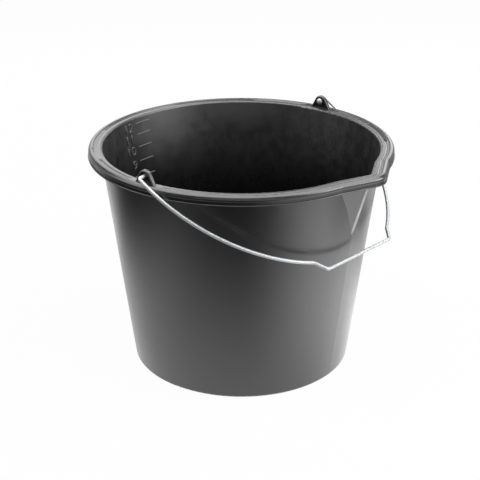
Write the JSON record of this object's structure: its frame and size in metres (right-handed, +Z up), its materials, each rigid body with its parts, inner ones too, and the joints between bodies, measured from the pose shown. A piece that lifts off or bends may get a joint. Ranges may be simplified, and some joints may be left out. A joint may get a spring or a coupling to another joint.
{
  "type": "builder's bucket",
  "caption": "Round tapered plastic bucket with a pouring spout, a rolled rim, a litre scale inside and a wire bail that swings in ears on the rim.",
  "frame": {"origin": "centre of the foot ring, on the floor that the bucket stands on", "axes": "+Z up along the bucket's axis, +X towards the spout, Y along the line through the ears, which is the bail's hinge axis"},
  "size_m": [0.3311, 0.3268, 0.252],
  "materials": {
    "black_plastic": "satin moulded black polyethylene",
    "galvanised_wire": "bright galvanised"
  },
  "bodies": {
    "bucket": {"bucket": "black_plastic"},
    "bail": {"bail": "galvanised_wire"}
  },
  "joints": [
    {"name": "bail_hinge", "type": "hinge", "parent": "bucket", "child": "bail", "pos_m": [0, 0, 0.246], "axis": [0, -1, 0], "range_deg": [0, 245.6]}
  ]
}
